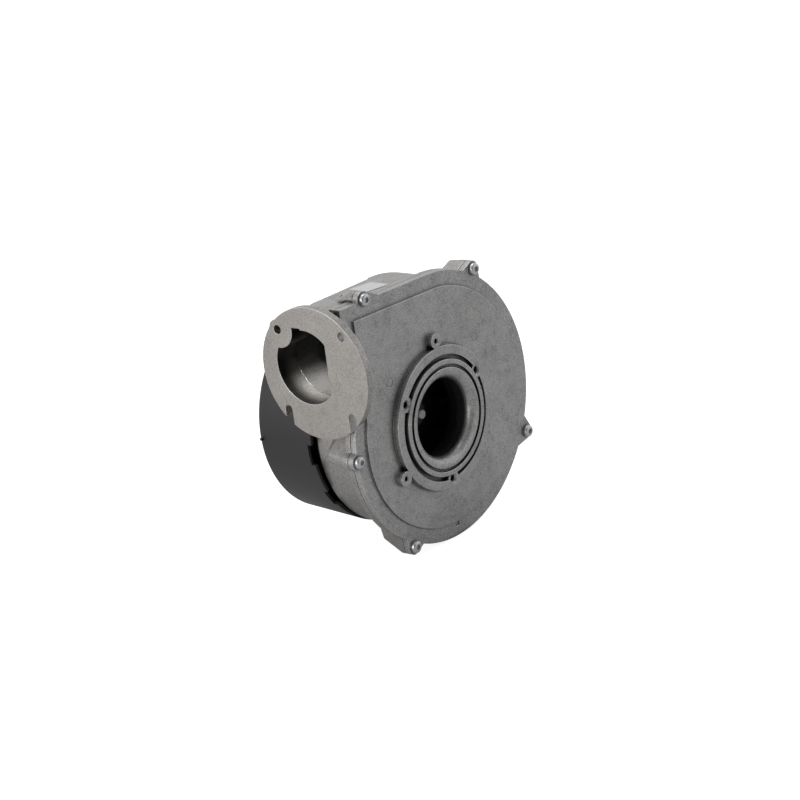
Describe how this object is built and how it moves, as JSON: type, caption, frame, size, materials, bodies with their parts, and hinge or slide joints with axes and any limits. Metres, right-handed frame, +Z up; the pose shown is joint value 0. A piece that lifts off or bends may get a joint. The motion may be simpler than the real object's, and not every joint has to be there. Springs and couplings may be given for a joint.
{
  "type": "radial premix blower",
  "caption": "Radial blower with die-cast scroll, flanged round outlet, bellmouth inlet with mounting ring, enclosed impeller and capped electronic motor.",
  "frame": {"origin": "centre of the inlet on the front face of the raised mounting ring", "axes": "-Y out of the inlet along the impeller axis, -X out of the outlet flange, +Z up"},
  "size_m": [0.2118, 0.1403, 0.2121],
  "materials": {
    "label_foil": "plain foil",
    "capacitor_can": "sleeved can",
    "ferrite": "sintered ferrite",
    "zinc_steel": "zinc plated",
    "brass": "turned brass",
    "board_laminate": "green coated glass laminate",
    "socket_plastic": "black moulded plastic",
    "tinned_brass": "tinned",
    "seal_rubber": "matt black",
    "ground_steel": "ground",
    "cage_plastic": "brown moulded plastic",
    "turned_aluminium": "turned",
    "sheet_aluminium": "dark rolled sheet",
    "spring_steel": "dark spring steel",
    "cast_aluminium": "as-cast, tumbled, mottled grey",
    "black_plastic": "matt moulded plastic",
    "lamination_steel": "stacked laminations",
    "felt": "grey felt",
    "enamelled_copper": "enamelled copper wire",
    "insulator_plastic": "off-white moulded plastic"
  },
  "bodies": {
    "housing": {"blank_label": "label_foil", "board_capacitors": "capacitor_can", "board_choke": "ferrite", "board_screws": "zinc_steel", "board_standoffs": "brass", "bracket_screws": "zinc_steel", "circuit_board": "board_laminate", "control_socket": "socket_plastic", "control_socket_pins": "tinned_brass", "cover_gasket": "seal_rubber", "cover_screws": "zinc_steel", "front_bearing_outer_ring": "ground_steel", "inlet_cover": "cast_aluminium", "motor_cover": "black_plastic", "motor_cover_screws": "zinc_steel", "power_socket": "socket_plastic", "power_socket_pins": "tinned_brass", "preload_spring": "spring_steel", "rear_bearing_bracket": "cast_aluminium", "rear_bearing_outer_ring": "ground_steel", "shaft_seal": "felt", "stator_coils": "enamelled_copper", "stator_core": "lamination_steel", "stator_insulator_front": "insulator_plastic", "stator_insulator_rear": "insulator_plastic", "volute_housing": "cast_aluminium"},
    "rotor": {"motor_shaft": "ground_steel", "impeller_front_shroud": "sheet_aluminium", "impeller_blades": "sheet_aluminium", "impeller_back_disc": "sheet_aluminium", "impeller_hub": "turned_aluminium", "hub_rivets": "turned_aluminium", "impeller_clip": "spring_steel", "rotor_core": "lamination_steel", "rotor_magnets": "ferrite", "front_bearing_inner_ring": "ground_steel", "rear_bearing_inner_ring": "ground_steel"},
    "front_balls": {"front_bearing_balls": "ground_steel", "front_bearing_cage": "cage_plastic"},
    "rear_balls": {"rear_bearing_balls": "ground_steel", "rear_bearing_cage": "cage_plastic"}
  },
  "joints": [
    {"name": "rotor_spin", "type": "hinge", "parent": "housing", "child": "rotor", "pos_m": [0, 0.03, 0], "axis": [0, -1, 0], "continuous": true},
    {"name": "front_balls_spin", "type": "hinge", "parent": "housing", "child": "front_balls", "pos_m": [0, 0.0555, 0], "axis": [0, -1, 0], "continuous": true},
    {"name": "rear_balls_spin", "type": "hinge", "parent": "housing", "child": "rear_balls", "pos_m": [0, 0.0963, 0], "axis": [0, -1, 0], "continuous": true}
  ],
  "couplings": [
    {"joint": "front_balls_spin", "follows": "rotor_spin", "ratio": 0.3774},
    {"joint": "rear_balls_spin", "follows": "rotor_spin", "ratio": 0.3774}
  ]
}
